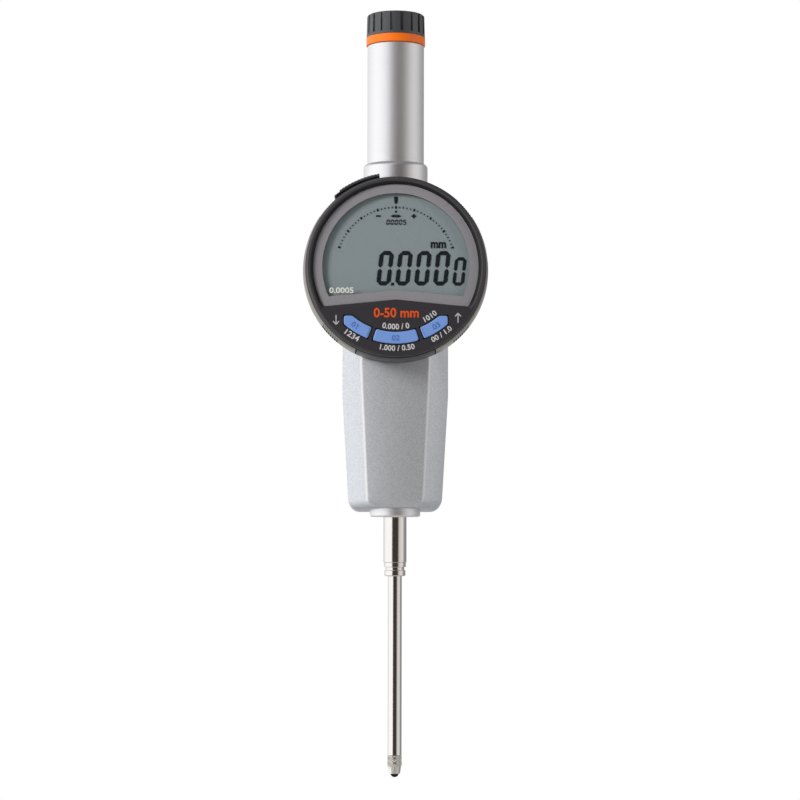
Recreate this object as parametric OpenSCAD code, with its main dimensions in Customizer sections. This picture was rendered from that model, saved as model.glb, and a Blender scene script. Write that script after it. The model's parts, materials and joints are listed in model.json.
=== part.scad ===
// Long-stroke digital indicator: cast body, turning display head, spring tube, stem and spindle.
// Frame: +Z up along the spindle, -Y towards the reader, origin on the spindle axis half-way up the stem.
// "Front" depths (names with _f) are distances in front of the spindle axis, so y = -front depth.
// Angles on the head are measured from +X towards +Z.

/* [Stem and spindle] */
// Diameter of the clamping stem
stem_d = 8; // [7.9:0.05:8.3]
// Length of the clamping stem at its full diameter
stem_l = 15.5; // [14:0.1:16]
// Diameter of the spindle
spindle_d = 4.8; // [4.4:0.05:4.85]
// Height of the spindle's lower end above the stem's middle
spindle_low_z = -73.3; // [-74.5:0.1:-72]
// Stroke of the spindle
travel = 50.8; // [45:0.1:50.8]
// Radius of the carbide ball in the contact point
ball_r = 1.5; // [1.4:0.05:1.55]

/* [Body casting] */
// Height of the head's axis above the stem's middle
head_z = 91.35; // [91:0.05:92]
// Outer radius of the cast head
head_r = 30; // [29.6:0.1:30.4]
// Front depth of the head's front face
head_front_f = 11.2; // [11:0.05:11.25]
// Front depth of the flat panel on the lower half
panel_f = 10.9; // [10.7:0.05:10.95]
// Back depth of the casting's rear face
body_back = 9.7; // [9.6:0.05:9.8]
// Half width of the lower half above its taper
body_half_w = 18.1; // [17.6:0.1:18.6]
// Half width of the lower half at its lower end
body_low_half_w = 16.1; // [16:0.1:16.6]
// Thickness of the two rear covers
cover_t = 1.8; // [1.6:0.1:2]

/* [Display] */
// Outer radius of the display rim at its back
rim_r = 31.5; // [31.3:0.05:31.6]
// Front depth of the display's rear face
display_back_f = 11.4; // [11.35:0.05:11.45]
// Front depth of the bezel's flat front
bezel_front_f = 26.7; // [26.6:0.05:26.8]
// Radius of the round window opening inside the bezel
window_r = 27.6; // [27.4:0.05:27.7]
// Radius of the round edge of the LCD opening in the mask
lcd_view_r = 24.6; // [24:0.1:25]
// Outer radius of the row of keys
key_out_r = 26; // [25.8:0.05:26.05]
// Inner radius of the row of keys
key_in_r = 22; // [21.8:0.1:22.4]

/* [Spring tube and cap] */
// Outer diameter of the spring tube
tube_d = 19.56; // [19.4:0.02:19.6]
// Height of the spring tube's shoulder above the stem's middle
tube_top_z = 170.45; // [170:0.05:171]
// Height of the cap's top above the stem's middle
cap_top_z = 181.1; // [180.8:0.05:181.5]
// Number of grip grooves round the cap
cap_grooves = 18; // [12:1:20]

/* [Hidden] */
$fn = 96;
hull_fn = 32;   // sides of the discs inside a hull
eps = 0.1;      // overshoot of a cutting solid

// Stem end and bushes
stem_r = stem_d / 2;
stem_top_z = stem_l / 2;
stem_shank_r = stem_r - 0.2;
stem_shank_top_z = 14.5;
stem_bore_r = 2.9;
spindle_r = spindle_d / 2;
bush_bore_r = spindle_r + 0.04;
wiper_bore_r = spindle_r + 0.06;
collar_r = 8.65;
collar_top_z = 11.2;

// Spindle train
spindle_top_z = 112;
contact_seat_z = spindle_low_z - 0.1;
knurl_r = 2.55;
knurl_l = 3.8;
cone_l = 2.4;
cone_tip_r = 1.9;
stud_r = 1.25;
carriage_z = 17;
carriage_h = 10;
carriage_half_w = 5;
carriage_front_f = 3.4;
carriage_back = 5;
scale_half_w = 3.5;
holder_front_f = 5.4;
scale_front_f = 6.4;
holder_low_z = carriage_z;
holder_top_z = 80;
pin_z = carriage_z + carriage_h / 2;
pin_r = 0.9;
roller_r = 1.5;

// Guide rail on the casting
rail_half_w = 5.5;
rail_front = 5.9;
rail_back = 8.1;
rail_low_z = 14;
rail_top_z = 86;
rail_slot_half_w = roller_r + 0.07;
rail_screw_z = [15.6, 84];
crossbar_z = 81;
crossbar_h = 10;
crossbar_front_f = 2.3;

// Cavities of the casting
wall = 2;
cavity_r = 27.2;
gasket_r = 28.2;
gasket_t = 0.5;
floor_z = 13.85;
body_low_z = 9.45;
boss_r = 12.98;
boss_front_f = 15.4;
boss_bore_r = 10.5;
cover_boss_xz = 17.7;
lower_cover_low_z = 11.3;
lower_cover_top_z = 64;
lower_screws = [[14.6, 55], [13.6, 16]];
standoffs = [[6, 67], [6, 77]];
board_back_f = 6.75;
board_front_f = 7.95;

// Spring tube
tube_r = tube_d / 2;
tube_bore_r = 8;
tube_low_z = 123;
neck_r = 9;
neck_top_z = 177.85;
socket_r = 11.07;
socket_top_z = 129.25;
socket_round_r = 1.5;
passage_r = 8.6;
spring_low_z = 96.2;
spring_top_z = 171.1;
spring_r = 3.9;
spring_wire_r = 0.32;
spring_turns = 20;
spring_steps = 12;   // rings along one turn
spring_sides = 5;

// Display stack, front depths
rim_edge_f = 19.4;      // front depth where the rim's tapered wall meets its conical front edge
rim_edge_r = 31;
rim_front_f = 21.4;
rim_front_r = 30.3;
rim_in_r = 29.2;
case_floor_f = 14.4;
board_f = 19.9;
board_t = 1;
frame_f = 23.9;
ledge_f = 24.9;
panel_back_f = 24.95;
mask_front_f = 25.3;
window_front_f = 25.9;
bezel_r = 30.2;
bezel_flat_r = 29.4;
slope_r = 28.9;
opening_r = window_r + 0.15;
panel_fall = 5.6;       // slope of the key panel's two straight upper edges
panel_top = -11.07;     // height of their meeting point from the head's axis
panel_edge = 1;         // width of the sloped upper edge of the key panel
view_fall = 5.1;        // the same slope and height for the LCD opening's lower edge
view_top = -8.03;
lcd_low = -11.6;
post_r = 2.2;
post_at = [20, 160, 215, 325];
post_at_r = 24.5;
stop_r = 17;
stop_block_half = 11.4;

// Rim details, angles in degrees
grip_zones = [41, 139, 224.5, 315.5];
grip_pitch = 1.75; // degrees
grip_count = 8;
tray_angle = 270;
tray_half = 25.2;
tray_gap = 0.75;
tray_back_f = 12;
tray_front_f = 20.8;
data_angle = 113;
data_half_w = 5.5;
data_back_f = 15.2;
data_front_f = 19.1;
cell_z = -18;
cell_r = 10;
cell_back_f = 16.15;
cell_front_f = 19.35;

// Keys
key_back_f = 23.1;
key_flange_f = 24.6;
key_front_f = 27.1;
key_half = 17.3;
key_gap = 0.28;         // gap round a key in its opening
key_lip = 0.46;         // how far a key's flange reaches past the key
side_key_from = 21.3;
side_key_x = 17.3;
side_key_z = -16.6;

// ---- shared shapes ----

// A flat outline drawn in the front view (x, z), filled between two front depths
module slab(f0, f1) rotate([90, 0, 0]) translate([0, 0, f0]) linear_extrude(f1 - f0) children();

// Moves a shape from the spindle's frame to the head's axis
module on_head() translate([0, 0, head_z]) children();

// A flat ring, a wedge and a ring sector
module ring(r_out, r_in) difference() {
    circle(r_out);
    circle(r_in);
}
module wedge(from, to, reach = 60) polygon(concat([[0, 0]],
    [for (i = [0:4]) let (a = from + (to - from) * i / 4) reach * [cos(a), sin(a)]]));
module sector(r_out, r_in, from, to) intersection() {
    ring(r_out, r_in);
    wedge(from, to);
}

// A tube standing on the spindle axis
module pipe(r_out, r_in, z0, z1) translate([0, 0, z0]) difference() {
    cylinder(r = r_out, h = z1 - z0);
    translate([0, 0, -eps]) cylinder(r = r_in, h = z1 - z0 + 2 * eps);
}

// A block given by its two corners
module block(a, b) translate(a) cube(b - a);

// A cylinder lying along Y between two y values
module pin_y(x, y0, y1, z, r) translate([x, y0, z]) rotate([-90, 0, 0]) cylinder(r = r, h = y1 - y0);

// A screw put in from the back, with its head's outer face at y_head
module screw_from_back(x, z, y_head, head_r, head_t, shank_r, shank_l) {
    pin_y(x, y_head - head_t, y_head, z, head_r);
    pin_y(x, y_head - head_t - shank_l, y_head - head_t, z, shank_r);
}

// The parts of a disc above and below a shallow roof, given by its ridge height and slope
module above_roof(r, top, slope) intersection() {
    circle(r);
    fall = r * tan(slope);
    polygon([[-r, top - fall], [0, top], [r, top - fall], [r, r], [-r, r]]);
}
module below_roof(r, top, slope) difference() {
    circle(r);
    above_roof(r + 1, top, slope);
}

// ---- body casting and what is fixed to it ----

// Corners of the lower half at one depth: half widths at the top, the knee and the foot
module body_level(f, top_w, foot_w, knee_z, foot_z, r, t = 0.05) {
    for (side = [-1, 1], corner = [[top_w, 80], [top_w, knee_z], [foot_w, foot_z + r]])
        translate([side * (corner[0] - r), -f, corner[1]]) rotate([90, 0, 0])
            cylinder(r = r, h = t, $fn = hull_fn);
}

module lower_half_shell() hull() {
    body_level(panel_f - 0.05, 11.1, 9, 60, 11.7, 2.6);
    body_level(panel_f - 0.2, 11.5, 9.4, 60, 11.3, 2.9);
    body_level(panel_f - 0.7, 11.8, 9.7, 60, 11, 3.2);
    body_level(3, body_half_w, body_low_half_w, 48.9, 10.2, 4);
    body_level(-body_back, body_half_w, body_low_half_w, 48.9, body_low_z, 4);
}

module tube_socket() difference() {
    round_z = socket_top_z - socket_round_r;
    rotate_extrude() {
        translate([0, 112]) square([socket_r, round_z - 112]);
        translate([0, round_z - eps]) square([socket_r - socket_round_r + 0.05, socket_round_r + eps]);
        translate([socket_r - socket_round_r, round_z]) circle(socket_round_r);
    }
    on_head() slab(-body_back - cover_t - 1, -body_back) circle(head_r + 1);
}

module crossbar() {
    block([-28, -crossbar_front_f, crossbar_z], [28, rail_front, crossbar_z + crossbar_h]);
    block([-5, 4, 12], [5, rail_front, 16.5]);
}

module casting_cavities() {
    on_head() slab(-body_back - eps, head_front_f - wall) circle(cavity_r);
    block([-8.5, -panel_f + 1.9, floor_z], [8.5, 0, 70]);
    block([-11.5, -4, floor_z], [11.5, body_back + eps, 70]);
    translate([0, 0, 112]) cylinder(r = passage_r, h = tube_low_z - 112 + eps);
    translate([0, 0, tube_low_z]) cylinder(r = tube_r, h = 10);
}

module casting_bosses() {
    intersection() {
        for (x = [-1, 1], z = [-1, 1])
            pin_y(x * cover_boss_xz, -head_front_f + 1, body_back, head_z + z * cover_boss_xz, 2.6);
        on_head() slab(-body_back, head_front_f) circle(head_r);
    }
    for (side = [-1, 1], at = standoffs)
        pin_y(side * at[0], -head_front_f + 1, -board_front_f, at[1], 1.8);
}

module housing() color("silver") difference() {
    union() {
        difference() {
            union() {
                on_head() slab(-body_back, head_front_f) circle(head_r);
                lower_half_shell();
                tube_socket();
            }
            casting_cavities();
        }
        on_head() slab(head_front_f - wall, boss_front_f) circle(boss_r);
        crossbar();
        casting_bosses();
    }
    // centre hole, clip groove and seal groove of the boss that carries the display
    on_head() slab(head_front_f - wall - eps, boss_front_f + eps) circle(boss_bore_r);
    on_head() slab(14.73, 15.17) ring(boss_r + 1, 12.3);
    on_head() slab(10.2, head_front_f + eps) ring(14.9, 13.5);
    on_head() slab(8.7, head_front_f + eps) rotate(270) translate([stop_r, 0]) circle(1);
    // gasket recess, upper bush, stem and collar seats
    on_head() slab(-body_back - eps, gasket_t - body_back) ring(gasket_r, cavity_r);
    translate([0, 0, crossbar_z - 1]) cylinder(r = 3, h = crossbar_h + 2);
    cylinder(r = stem_shank_r, h = floor_z + 1);
    translate([0, 0, 9]) cylinder(r = collar_r + 0.05, h = collar_top_z - 9);
    // threaded holes
    for (x = [-1, 1], z = [-1, 1])
        pin_y(x * cover_boss_xz, body_back - 7, body_back + eps, head_z + z * cover_boss_xz, 1.1);
    for (side = [-1, 1], at = lower_screws)
        pin_y(side * at[0], body_back - 7, body_back + eps, at[1], 1.1);
    for (side = [-1, 1], at = standoffs) pin_y(side * at[0], -10, -board_front_f + eps, at[1], 0.7);
    for (z = rail_screw_z) pin_y(0, 4.4, rail_front + eps, z, 0.8);
}

module stem() color("gainsboro") difference() {
    union() {
        pipe(stem_r, stem_bore_r, -stem_top_z, stem_top_z);
        pipe(stem_shank_r, stem_bore_r, stem_top_z - eps, stem_shank_top_z);
    }
}

module stem_collar() color("silver") rotate_extrude() polygon([
    [stem_shank_r, stem_top_z], [8.1, stem_top_z], [collar_r, stem_top_z + 0.45],
    [collar_r, collar_top_z], [stem_shank_r, collar_top_z]]);

module wiper_holder() color("gainsboro") difference() {
    land_r = stem_r - 0.2;
    land_z = -stem_top_z - 1.6;
    ring_z = land_z - 1.1;
    end_z = ring_z - 2;
    rotate_extrude() polygon([
        [wiper_bore_r, end_z], [3.4, end_z], [3.65, end_z + 0.25], [3.65, ring_z], [3.25, ring_z],
        [3.25, land_z], [land_r, land_z], [land_r, -stem_top_z],
        [stem_bore_r, -stem_top_z], [stem_bore_r, -stem_top_z + 3], [wiper_bore_r, -stem_top_z + 3]]);
    pipe(3, 1, -stem_top_z - 4.1, -stem_top_z - 3.1);
}

module spindle_wiper() color("dimgray") pipe(3, wiper_bore_r, -stem_top_z - 4.1, -stem_top_z - 3.1);

module lower_bush() color("darkgoldenrod") pipe(stem_bore_r, bush_bore_r, -4, 6);

module upper_bush() color("darkgoldenrod") pipe(3, bush_bore_r, crossbar_z, crossbar_z + crossbar_h);

module lower_bumper() color("dimgray") pipe(3.8, stem_bore_r, stem_shank_top_z, carriage_z - 0.2);

module guide_rail() color("lightsteelblue") difference() {
    block([-rail_half_w, rail_front, rail_low_z], [rail_half_w, rail_back, rail_top_z]);
    block([-rail_slot_half_w, rail_front - 1, 18], [rail_slot_half_w, rail_back + 1, pin_z + travel + 4]);
    for (z = rail_screw_z) pin_y(0, rail_front - 1, rail_back + 1, z, 0.8);
}

module detector_board() color("darkgreen") difference() {
    block([-8, -board_front_f, 62], [8, -board_back_f, 84]);
    for (side = [-1, 1], at = standoffs) pin_y(side * at[0], -9, -5, at[1], 0.7);
}

module detector_chip() color("black") block([-3.5, -board_front_f - 1, 66], [3.5, -board_front_f, 73]);

module frame_screws() color("silver") {
    for (z = rail_screw_z) screw_from_back(0, z, rail_back + 1.1, 1.6, 1.1, 0.8, 3.6);
    for (side = [-1, 1], at = standoffs)
        screw_from_back(side * at[0], at[1], -board_back_f + 1, 1.4, 1, 0.7, 3);
}

module flex_cable() color("orange") {
    block([-3, -board_front_f - 0.2, 78], [3, -board_front_f, head_z + 0.1]);
    block([-3, -18.45, head_z - 0.1], [3, -board_front_f, head_z + 0.1]);
}

module spring_tube() color("lightgray")
    rotate_extrude() polygon([
        [tube_bore_r, tube_low_z], [tube_r, tube_low_z], [tube_r, tube_top_z - 0.2],
        [tube_r - 0.2, tube_top_z], [neck_r, tube_top_z], [neck_r, neck_top_z - 0.3],
        [neck_r - 0.3, neck_top_z], [tube_bore_r, neck_top_z]]);

module spring_plug() color("gainsboro") union() {
    translate([0, 0, spring_top_z]) cylinder(r = tube_bore_r, h = 4);
    translate([0, 0, spring_top_z - 7]) cylinder(r = 2.6, h = 7.1);
}

// Open coil as one swept tube: rings of points along a helix, then its two flat ends
module return_spring() color("gray") {
    rings = spring_turns * spring_steps;
    z0 = spring_low_z + spring_wire_r + 0.02;
    rise = (spring_top_z - spring_low_z - 2 * spring_wire_r - 0.04) / rings;
    points = [for (i = [0:rings], k = [0:spring_sides - 1])
        let (turn = 360 * i / spring_steps, a = 360 * k / spring_sides,
            r = spring_r + spring_wire_r * cos(a))
        [r * cos(turn), r * sin(turn), z0 + rise * i + spring_wire_r * sin(a)]];
    side = [for (i = [0:rings - 1], k = [0:spring_sides - 1])
        let (p = i * spring_sides, q = (k + 1) % spring_sides)
        [p + k, p + q, p + spring_sides + q, p + spring_sides + k]];
    last = rings * spring_sides;
    ends = [[for (k = [spring_sides - 1:-1:0]) k], [for (k = [0:spring_sides - 1]) last + k]];
    polyhedron(points, concat(side, ends));
}

module back_gasket() color("dimgray")
    on_head() slab(-body_back, gasket_t - body_back) ring(gasket_r - 0.05, cavity_r + 0.05);

module lug_back() color("silver") difference() {
    lug_y = body_back + cover_t + 8;
    union() {
        on_head() slab(-body_back - cover_t, -body_back) circle(head_r - 1);
        block([-3.2, body_back, head_z - 6.5], [3.2, lug_y, head_z + 6.5]);
        translate([-3.2, lug_y, head_z]) rotate([0, 90, 0]) cylinder(r = 6.5, h = 6.4);
    }
    translate([-4, lug_y, head_z]) rotate([0, 90, 0]) cylinder(r = 3.25, h = 8);
    for (x = [-1, 1], z = [-1, 1]) {
        pin_y(x * cover_boss_xz, body_back - 1, body_back + 5, head_z + z * cover_boss_xz, 1.1);
        pin_y(x * cover_boss_xz, body_back + 0.8, body_back + 5, head_z + z * cover_boss_xz, 1.9);
    }
}

module lower_cover() color("silver") difference() {
    slab(-body_back - cover_t, -body_back) polygon([
        [-14, lower_cover_low_z], [14, lower_cover_low_z], [14.9, 12.2],
        [16.5, lower_cover_top_z - 14], [16.5, lower_cover_top_z + 6], [-16.5, lower_cover_top_z + 6],
        [-16.5, lower_cover_top_z - 14], [-14.9, 12.2]]);
    on_head() slab(-body_back - cover_t - 1, -body_back + 1) circle(head_r - 0.7);
    for (side = [-1, 1], at = lower_screws) {
        pin_y(side * at[0], body_back - 1, body_back + 5, at[1], 1.1);
        pin_y(side * at[0], body_back + 0.8, body_back + 5, at[1], 1.9);
    }
}

module cover_screws() color("gray") {
    for (x = [-1, 1], z = [-1, 1])
        screw_from_back(x * cover_boss_xz, head_z + z * cover_boss_xz, body_back + 1.7, 1.85, 0.9, 1.1, 6);
    for (side = [-1, 1], at = lower_screws)
        screw_from_back(side * at[0], at[1], body_back + 1.7, 1.85, 0.9, 1.1, 6);
}

module stop_pin() color("gainsboro") on_head() slab(8.7, 13.1) rotate(270) translate([stop_r, 0]) circle(1);

module display_seal() color("dimgray") on_head() slab(10.2, display_back_f - 0.05) ring(14.8, 13.6);

module wave_washer() color("gray") on_head() slab(case_floor_f + 0.05, 14.7) ring(15, boss_r + 0.07);

module retaining_ring() color("gray") on_head() slab(14.75, 15.15) difference() {
    ring(14.6, 12.3);
    wedge(80, 100);
}

// ---- spindle and what travels with it ----

module spindle() color("gainsboro") difference() {
    translate([0, 0, spindle_low_z]) cylinder(r = spindle_r, h = spindle_top_z - spindle_low_z);
    translate([0, 0, spindle_low_z - eps]) cylinder(r = stud_r, h = 8);
}

module contact_point() color("gray") difference() {
    low_z = contact_seat_z - knurl_l;
    union() {
        rotate_extrude() polygon([
            [0, low_z - cone_l], [cone_tip_r, low_z - cone_l], [knurl_r - 0.2, low_z], [knurl_r, low_z + 0.2],
            [knurl_r, contact_seat_z - 0.2], [knurl_r - 0.2, contact_seat_z], [stud_r, contact_seat_z],
            [stud_r, contact_seat_z + 6], [0, contact_seat_z + 6]]);
    }
    translate([0, 0, low_z - cone_l + 0.2]) sphere(r = ball_r);
}

module contact_ball() color("darkslategray")
    translate([0, 0, contact_seat_z - knurl_l - cone_l + 0.2]) sphere(r = ball_r);

module carriage() color("gray") difference() {
    block([-carriage_half_w, -carriage_front_f, carriage_z],
          [carriage_half_w, carriage_back, carriage_z + carriage_h]);
    translate([0, 0, carriage_z - 1]) cylinder(r = spindle_r, h = carriage_h + 2);
    translate([spindle_r, -1, pin_z]) rotate([0, 90, 0]) cylinder(r = 0.8, h = 4);
}

module carriage_screw() color("silver")
    translate([spindle_r, -1, pin_z]) rotate([0, 90, 0])
        cylinder(r = 0.8, h = carriage_half_w - spindle_r - 0.2);

module scale_holder() color("lightgray")
    block([-scale_half_w, -holder_front_f, holder_low_z], [scale_half_w, -carriage_front_f, holder_top_z]);

module main_scale() color("khaki")
    block([-scale_half_w + 0.3, -scale_front_f, holder_low_z + 0.5],
          [scale_half_w - 0.3, -holder_front_f, holder_top_z - 0.5]);

module guide_pin() color("gainsboro") pin_y(0, carriage_back, rail_back - 0.1, pin_z, pin_r);

module guide_roller() color("goldenrod") difference() {
    pin_y(0, rail_front + 0.15, rail_back - 0.15, pin_z, roller_r);
    pin_y(0, rail_front, rail_back, pin_z, pin_r);
}

module spring_collar() color("gray") pipe(4.8, spindle_r, spring_low_z - 2, spring_low_z);

// ---- turning display ----

// The rim's wall: a slight taper towards the front, then a conical edge
module rim_wall(r_in) rotate([90, 0, 0]) rotate_extrude() polygon([
    [r_in, display_back_f], [rim_r, display_back_f], [rim_edge_r, rim_edge_f],
    [rim_front_r, rim_front_f], [r_in, rim_front_f]]);

// One grip groove across the rim, following its taper
module rim_groove(angle) rotate([0, -angle, 0]) translate([rim_edge_r + 0.04, -rim_edge_f, 0])
    rotate([0, 0, -atan((rim_r - rim_edge_r) / (rim_edge_f - display_back_f))])
        translate([0, rim_edge_f - tray_front_f, 0]) rotate([-90, 0, 0])
            cylinder(r = 0.36, h = tray_front_f - tray_back_f, $fn = hull_fn);

module display_case() color("dimgray") difference() {
    union() {
        on_head() slab(display_back_f, case_floor_f) ring(rim_in_r + eps, boss_r + 0.07);
        on_head() rim_wall(rim_in_r);
        for (a = post_at) on_head() slab(case_floor_f - eps, board_f)
            rotate(a) translate([post_at_r, 0]) circle(post_r);
    }
    on_head() slab(display_back_f - eps, 13.3)
        sector(stop_r + 1.3, stop_r - 1.3, 90 + stop_block_half, 450 - stop_block_half);
    on_head() slab(tray_back_f - 0.1, tray_front_f + 0.2)
        sector(rim_r + 1, rim_in_r - 0.1,
            tray_angle - tray_half - tray_gap, tray_angle + tray_half + tray_gap);
    on_head() slab(data_back_f, data_front_f) rotate(data_angle)
        translate([28, -data_half_w - 0.1]) square([6, 2 * data_half_w + 0.2]);
    for (zone = grip_zones, i = [0:grip_count - 1])
        on_head() rim_groove(zone + grip_pitch * (i - (grip_count - 1) / 2));
    for (a = post_at) on_head() slab(15, board_f + eps) rotate(a) translate([post_at_r, 0]) circle(0.8);
}

// Body of the key panel: below a shallow roof, its two upper edges sloped like the ring's
module key_panel() difference() {
    slab(ledge_f - eps, bezel_front_f) below_roof(slope_r + 0.2, panel_top - 0.15, panel_fall);
    for (side = [0, 1]) mirror([side, 0, 0]) translate([0, 0, panel_top - 0.15])
        rotate([0, panel_fall, 0]) translate([-0.15, 0, 0]) rotate([90, 0, 90])
            linear_extrude(slope_r + 2) polygon([
                [-bezel_front_f - 0.08, -1.1 * panel_edge], [0.08 - window_front_f, 0.1 * panel_edge],
                [0.08 - window_front_f, 1], [-bezel_front_f - 0.08, 1]]);
}

// Front shell of the display: ring with a sloped inner edge, and the key panel, in one piece
module bezel() color("black") on_head() difference() {
    union() {
        rotate([90, 0, 0]) rotate_extrude() polygon([
            [bezel_r, rim_front_f], [bezel_r, bezel_front_f - 1.4], [bezel_flat_r, bezel_front_f],
            [slope_r, bezel_front_f], [opening_r, window_front_f], [opening_r, ledge_f],
            [26.6, ledge_f], [26.6, frame_f], [28.4, frame_f], [28.4, rim_front_f]]);
        key_panel();
    }
    for (side = [-1, 0, 1]) slab(ledge_f - 2 * eps, bezel_front_f + eps) key_outline(side, key_gap);
}

module window() color("lightcyan", 0.4) on_head() slab(mask_front_f + 0.05, window_front_f)
    above_roof(window_r, panel_top, panel_fall);

module key_outline(side, gap) {
    spread = gap / 24 * 180 / PI;
    if (side == 0)
        sector(key_out_r + gap, key_in_r - gap, 270 - key_half - spread, 270 + key_half + spread);
    else mirror([side < 0 ? 1 : 0, 0]) intersection() {
        sector(key_out_r + gap, key_in_r - gap, 270 + side_key_from - spread, 330);
        translate([0, -40]) square([side_key_x + gap, side_key_z + gap + 40]);
    }
}

module lcd_mask() color("gray") on_head() slab(panel_back_f, mask_front_f) difference() {
    above_roof(window_r, panel_top, panel_fall);
    above_roof(lcd_view_r, view_top, view_fall);
}

module above_line(r, z) intersection() {
    circle(r);
    translate([-r, z]) square([2 * r, 2 * r]);
}

module lcd_panel() color("lightslategray") on_head() slab(22.1, frame_f) above_line(25.9, lcd_low);

module lcd_frame() color("white") on_head() difference() {
    slab(board_f + board_t + 0.05, frame_f) difference() {
        above_line(26.4, lcd_low - 1.4);
        above_line(25.95, lcd_low - 0.05);
    }
    for (a = post_at) slab(board_f, 22.05) rotate(a) translate([post_at_r, 0]) circle(2);
}

module zebra_strips() color("hotpink") for (z = [lcd_low + 0.3, 18.4]) on_head()
    slab(board_f + board_t + 0.05, 22.05) translate([-15, z]) square([30, 1.2]);

module main_board() color("darkgreen") on_head() slab(board_f, board_f + board_t) difference() {
    circle(27);
    for (a = post_at) rotate(a) translate([post_at_r, 0]) circle(0.8);
}

module controller_chip() color("black") on_head() slab(board_f + board_t, board_f + board_t + 1)
    translate([-4, 2]) square(8);

module keypad_mat() color("lightgray") {
    on_head() slab(board_f + board_t, 21.9) difference() {
        intersection() {
            circle(26.8);
            translate([-30, -30]) square([60, 30 - 16.2]);
        }
        for (a = post_at) rotate(a) translate([post_at_r, 0]) circle(2.4);
    }
    for (a = [270 - 31, 270, 270 + 31]) on_head() slab(21.8, 22.6) rotate(a) translate([23.4, 0]) circle(1.3);
}

module board_screws() color("silver") for (a = post_at) {
    on_head() slab(board_f + board_t, board_f + board_t + 1) rotate(a) translate([post_at_r, 0]) circle(1.6);
    on_head() slab(15.4, board_f + board_t + 0.05) rotate(a) translate([post_at_r, 0]) circle(0.8);
}

module battery_contacts() color("gold") on_head() {
    slab(cell_front_f + 0.15, board_f) translate([-1.5, cell_z - 5]) square([3, 10]);
    slab(cell_back_f, board_f) translate([-3, cell_z + 12]) square([6, 0.6]);
}

module data_connector() color("black") on_head() difference() {
    slab(case_floor_f + 0.2, board_f) rotate(data_angle) translate([20, -6.5]) square([8.4, 13]);
    slab(15.6, 18.8) rotate(data_angle) translate([21, -5.2]) square([8, 10.4]);
}

module connector_pins() color("gold") for (row = [16.6, 17.8], i = [-2:2])
    on_head() slab(row - 0.2, row + 0.2) rotate(data_angle) translate([21, i * 1.8 - 0.2]) square([5, 0.4]);

module flex_connector() color("ivory") on_head() slab(18.6, board_f) translate([-4, -2]) square([8, 4]);

module key(side) {
    on_head() slab(key_flange_f - eps, key_front_f) key_outline(side, 0);
    on_head() slab(key_back_f, key_flange_f) key_outline(side, key_lip);
}

module button_left() color("cornflowerblue") key(-1);
module button_centre() color("cornflowerblue") key(0);
module button_right() color("cornflowerblue") key(1);

module battery_tray() color("dimgray") on_head() difference() {
    union() {
        intersection() {
            rim_wall(rim_in_r + 0.1);
            slab(tray_back_f, tray_front_f) wedge(tray_angle - tray_half, tray_angle + tray_half);
        }
        slab(cell_back_f - 0.4, cell_front_f - 0.05) translate([-11.3, -28.5]) square([22.6, 21.9]);
    }
    slab(cell_back_f, cell_front_f + 1) translate([0, cell_z]) circle(cell_r + 0.1);
}

module battery() color("silver") on_head() slab(cell_back_f, cell_front_f)
    translate([0, cell_z]) circle(cell_r);

module connector_cap() color("black") on_head() difference() {
    union() {
        slab(13.4, 20.6) sector(rim_r + 0.85, rim_r + 0.05, 100, 126);
        slab(13.4, 20.6) sector(rim_r + 0.45, rim_r + 0.05, 125.8, 130.5);
        slab(data_back_f + 0.1, data_front_f - 0.1) intersection() {
            rotate(data_angle) translate([29.1, -data_half_w]) square([4, 2 * data_half_w]);
            circle(rim_r + 0.2);
        }
    }
    for (i = [0:11]) slab(13, 21) rotate(101.5 + 2.1 * i) translate([rim_r + 1.13, 0]) circle(0.4);
}

// ---- cap on the spring tube ----

module cap_ring() color("orangered") pipe(tube_r + 0.39, neck_r + 0.1, tube_top_z + 0.05, tube_top_z + 2.85);

module top_cap() color("black") difference() {
    low_z = tube_top_z + 2.9;
    seat_z = neck_top_z + 1;
    rotate_extrude() polygon([
        [neck_r + 0.1, low_z], [tube_r + 0.32, low_z], [tube_r + 0.12, cap_top_z - 0.4],
        [tube_r - 0.28, cap_top_z], [0, cap_top_z], [0, seat_z], [neck_r + 0.1, seat_z]]);
    for (i = [0:cap_grooves - 1]) rotate(i * 360 / cap_grooves + 1.8)
        translate([tube_r - 0.3, -0.55, low_z + 0.95]) cube([2, 1.1, cap_top_z - low_z]);
}

module cap_seal() color("dimgray") pipe(neck_r, tube_bore_r, neck_top_z + 0.1, neck_top_z + 0.9);

housing();
stem();
stem_collar();
wiper_holder();
spindle_wiper();
lower_bush();
upper_bush();
lower_bumper();
guide_rail();
detector_board();
detector_chip();
frame_screws();
flex_cable();
spring_tube();
spring_plug();
return_spring();
back_gasket();
lug_back();
lower_cover();
cover_screws();
stop_pin();
display_seal();
wave_washer();
retaining_ring();
spindle();
contact_point();
contact_ball();
carriage();
carriage_screw();
scale_holder();
main_scale();
guide_pin();
guide_roller();
spring_collar();
display_case();
bezel();
window();
lcd_mask();
lcd_panel();
lcd_frame();
zebra_strips();
main_board();
controller_chip();
keypad_mat();
board_screws();
battery_contacts();
data_connector();
connector_pins();
flex_connector();
button_left();
button_centre();
button_right();
battery_tray();
battery();
connector_cap();
cap_ring();
top_cap();
cap_seal();
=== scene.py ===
"""Looks, studio and camera for a long-stroke digital indicator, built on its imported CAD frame."""
import json
import math

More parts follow.
